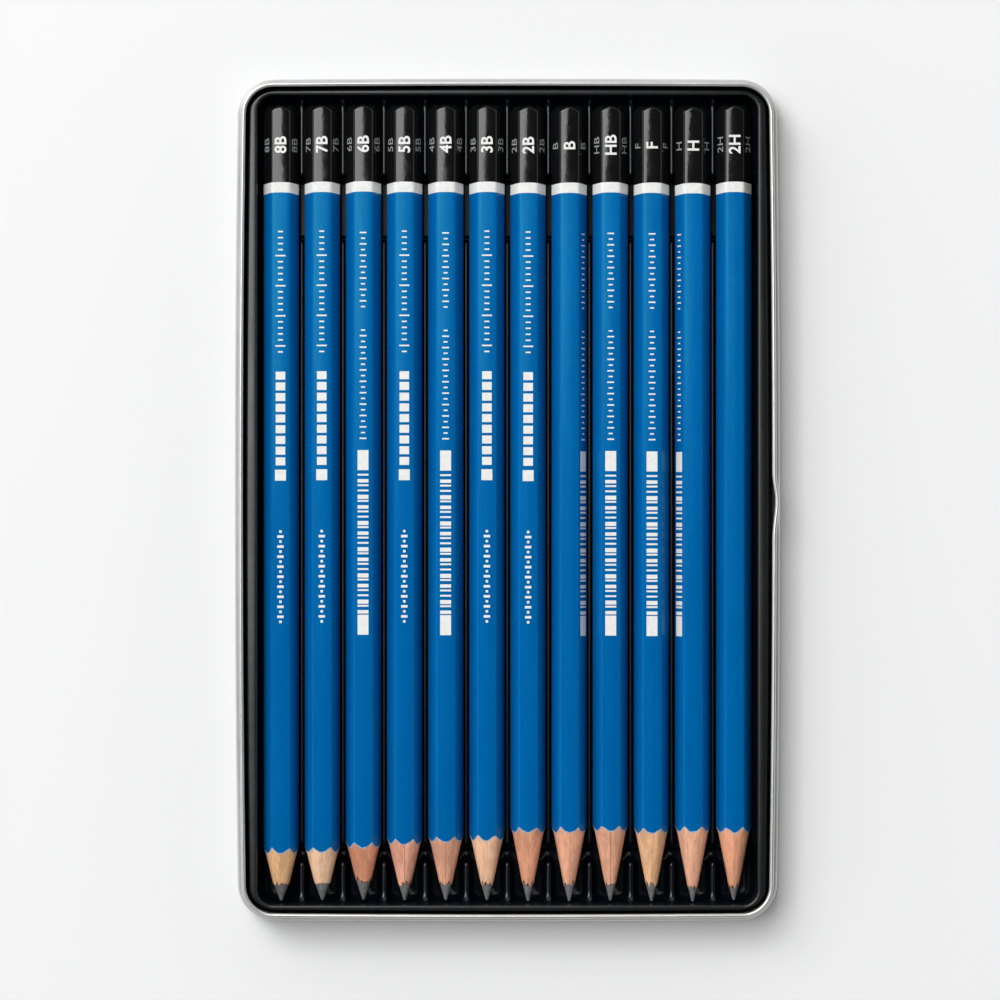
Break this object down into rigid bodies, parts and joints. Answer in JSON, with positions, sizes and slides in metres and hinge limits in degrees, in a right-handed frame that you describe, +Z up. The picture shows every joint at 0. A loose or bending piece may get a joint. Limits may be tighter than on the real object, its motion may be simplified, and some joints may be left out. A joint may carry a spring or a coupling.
{
  "type": "pencil tin",
  "caption": "Open flat metal tin with a rolled rim, and a moulded black insert tray that holds sharpened hexagonal graphite pencils side by side.",
  "frame": {"origin": "centre of the tin's footprint, on the surface that it stands on", "axes": "+X to the right across the pencils, +Y along the pencils towards their dipped ends, +Z up out of the open tin"},
  "size_m": [0.12, 0.1856, 0.011],
  "materials": {
    "tin_steel": "bright tinplate, satin",
    "tray_plastic": "glossy thermoformed sheet",
    "cedar": "bare sharpened wood",
    "graphite": "graphite and clay, dull grey",
    "blue_lacquer": "glossy lacquer",
    "black_dip": "glossy dipped lacquer"
  },
  "bodies": {
    "tin": {"tin_base": "tin_steel"},
    "tray": {"insert_tray": "tray_plastic"},
    "pencil_8b": {"pencil_8b_casing": "cedar", "pencil_8b_lead": "graphite", "pencil_8b_lacquer": "blue_lacquer", "pencil_8b_dip": "black_dip"},
    "pencil_7b": {"pencil_7b_casing": "cedar", "pencil_7b_lead": "graphite", "pencil_7b_lacquer": "blue_lacquer", "pencil_7b_dip": "black_dip"},
    "pencil_6b": {"pencil_6b_casing": "cedar", "pencil_6b_lead": "graphite", "pencil_6b_lacquer": "blue_lacquer", "pencil_6b_dip": "black_dip"},
    "pencil_5b": {"pencil_5b_casing": "cedar", "pencil_5b_lead": "graphite", "pencil_5b_lacquer": "blue_lacquer", "pencil_5b_dip": "black_dip"},
    "pencil_4b": {"pencil_4b_casing": "cedar", "pencil_4b_lead": "graphite", "pencil_4b_lacquer": "blue_lacquer", "pencil_4b_dip": "black_dip"},
    "pencil_3b": {"pencil_3b_casing": "cedar", "pencil_3b_lead": "graphite", "pencil_3b_lacquer": "blue_lacquer", "pencil_3b_dip": "black_dip"},
    "pencil_2b": {"pencil_2b_casing": "cedar", "pencil_2b_lead": "graphite", "pencil_2b_lacquer": "blue_lacquer", "pencil_2b_dip": "black_dip"},
    "pencil_b": {"pencil_b_casing": "cedar", "pencil_b_lead": "graphite", "pencil_b_lacquer": "blue_lacquer", "pencil_b_dip": "black_dip"},
    "pencil_hb": {"pencil_hb_casing": "cedar", "pencil_hb_lead": "graphite", "pencil_hb_lacquer": "blue_lacquer", "pencil_hb_dip": "black_dip"},
    "pencil_f": {"pencil_f_casing": "cedar", "pencil_f_lead": "graphite", "pencil_f_lacquer": "blue_lacquer", "pencil_f_dip": "black_dip"},
    "pencil_h": {"pencil_h_casing": "cedar", "pencil_h_lead": "graphite", "pencil_h_lacquer": "blue_lacquer", "pencil_h_dip": "black_dip"},
    "pencil_2h": {"pencil_2h_casing": "cedar", "pencil_2h_lead": "graphite", "pencil_2h_lacquer": "blue_lacquer", "pencil_2h_dip": "black_dip"}
  },
  "joints": [
    {"name": "tray_lift", "type": "slide", "parent": "tin", "child": "tray", "axis": [0, 0, 1], "range_m": [0, 0.03]},
    {"name": "pencil_8b_lift", "type": "slide", "parent": "tray", "child": "pencil_8b", "axis": [0, 0, 1], "range_m": [0, 0.03]},
    {"name": "pencil_7b_lift", "type": "slide", "parent": "tray", "child": "pencil_7b", "axis": [0, 0, 1], "range_m": [0, 0.03]},
    {"name": "pencil_6b_lift", "type": "slide", "parent": "tray", "child": "pencil_6b", "axis": [0, 0, 1], "range_m": [0, 0.03]},
    {"name": "pencil_5b_lift", "type": "slide", "parent": "tray", "child": "pencil_5b", "axis": [0, 0, 1], "range_m": [0, 0.03]},
    {"name": "pencil_4b_lift", "type": "slide", "parent": "tray", "child": "pencil_4b", "axis": [0, 0, 1], "range_m": [0, 0.03]},
    {"name": "pencil_3b_lift", "type": "slide", "parent": "tray", "child": "pencil_3b", "axis": [0, 0, 1], "range_m": [0, 0.03]},
    {"name": "pencil_2b_lift", "type": "slide", "parent": "tray", "child": "pencil_2b", "axis": [0, 0, 1], "range_m": [0, 0.03]},
    {"name": "pencil_b_lift", "type": "slide", "parent": "tray", "child": "pencil_b", "axis": [0, 0, 1], "range_m": [0, 0.03]},
    {"name": "pencil_hb_lift", "type": "slide", "parent": "tray", "child": "pencil_hb", "axis": [0, 0, 1], "range_m": [0, 0.03]},
    {"name": "pencil_f_lift", "type": "slide", "parent": "tray", "child": "pencil_f", "axis": [0, 0, 1], "range_m": [0, 0.03]},
    {"name": "pencil_h_lift", "type": "slide", "parent": "tray", "child": "pencil_h", "axis": [0, 0, 1], "range_m": [0, 0.03]},
    {"name": "pencil_2h_lift", "type": "slide", "parent": "tray", "child": "pencil_2h", "axis": [0, 0, 1], "range_m": [0, 0.03]}
  ]
}
